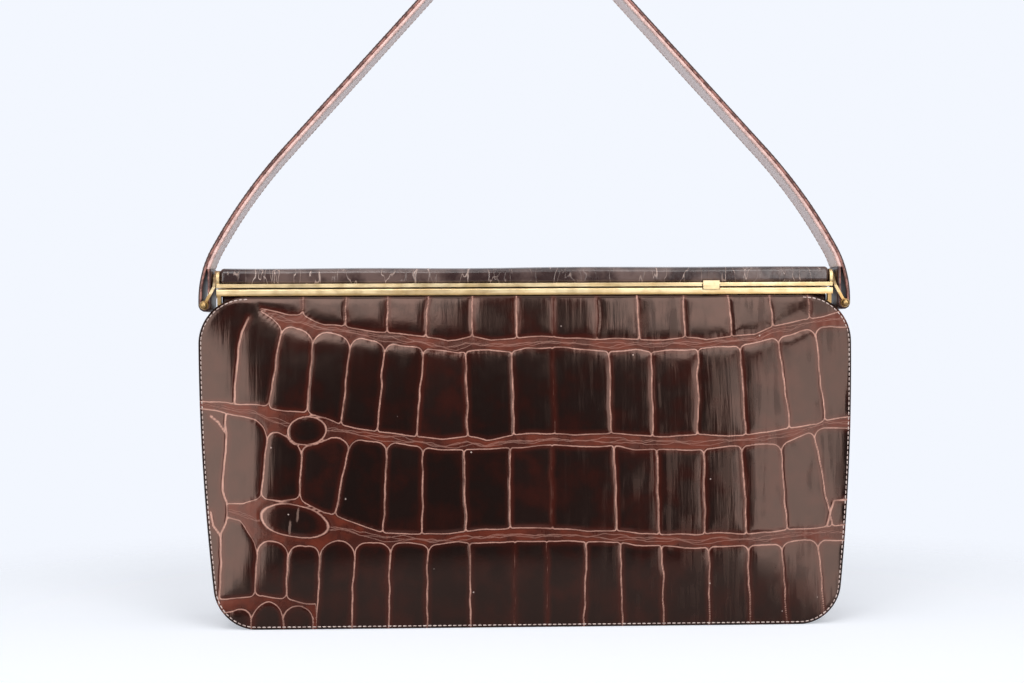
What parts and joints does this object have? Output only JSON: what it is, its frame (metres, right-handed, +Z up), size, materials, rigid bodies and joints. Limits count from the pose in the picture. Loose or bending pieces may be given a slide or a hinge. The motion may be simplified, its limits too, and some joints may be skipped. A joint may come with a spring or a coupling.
{
  "type": "frame handbag",
  "caption": "Frame handbag in glossy alligator leather with a brass frame that opens at the front, a padded top bar and a long strap handle that swings on brass lugs.",
  "frame": {"origin": "on the floor, under the middle of the bag", "axes": "+X along the bag to the right as seen from the front, +Y towards the back, +Z up"},
  "size_m": [0.2808, 0.0524, 0.2955],
  "materials": {
    "alligator": "glossy dark brown alligator hide with tan grooves",
    "gusset_leather": "satin dark brown calf",
    "lining_suede": "matt tan suede",
    "brass": "polished, lightly worn",
    "spring_steel": "drawn wire",
    "strap_leather": "glossy dark brown alligator hide",
    "strap_lining_leather": "satin taupe calf"
  },
  "bodies": {
    "bag": {"front_panel": "alligator", "back_panel": "alligator", "gusset": "gusset_leather", "lining": "lining_suede", "back_jaw": "brass", "hinge_pin_left": "brass", "hinge_pin_right": "brass", "top_bar_tray": "brass", "top_bar_pad": "alligator", "clasp_bracket": "brass", "clasp_pin": "brass", "clasp_spring": "spring_steel", "lug_stud_left": "brass", "lug_stud_right": "brass"},
    "front_jaw": {"front_jaw": "brass"},
    "clasp": {"clasp_lever": "brass"},
    "handle": {"lug_left": "brass", "lug_right": "brass", "lug_bar_left": "brass", "lug_bar_right": "brass", "strap": "strap_leather", "strap_lining": "strap_lining_leather"}
  },
  "joints": [
    {"name": "frame_hinge", "type": "hinge", "parent": "bag", "child": "front_jaw", "pos_m": [0, 0, 0.0984], "axis": [1, 0, 0], "range_deg": [0, 45], "deforming": ["front_panel", "gusset", "lining"]},
    {"name": "clasp_lift", "type": "hinge", "parent": "bag", "child": "clasp", "pos_m": [0.0797, 0.002, 0.1419], "axis": [-1, 0, 0], "range_deg": [0, 6], "stiffness_Nm_per_rad": 0.02},
    {"name": "handle_swing", "type": "hinge", "parent": "bag", "child": "handle", "pos_m": [0, 0, 0.1475], "axis": [1, 0, 0], "range_deg": [-80, 80]}
  ]
}
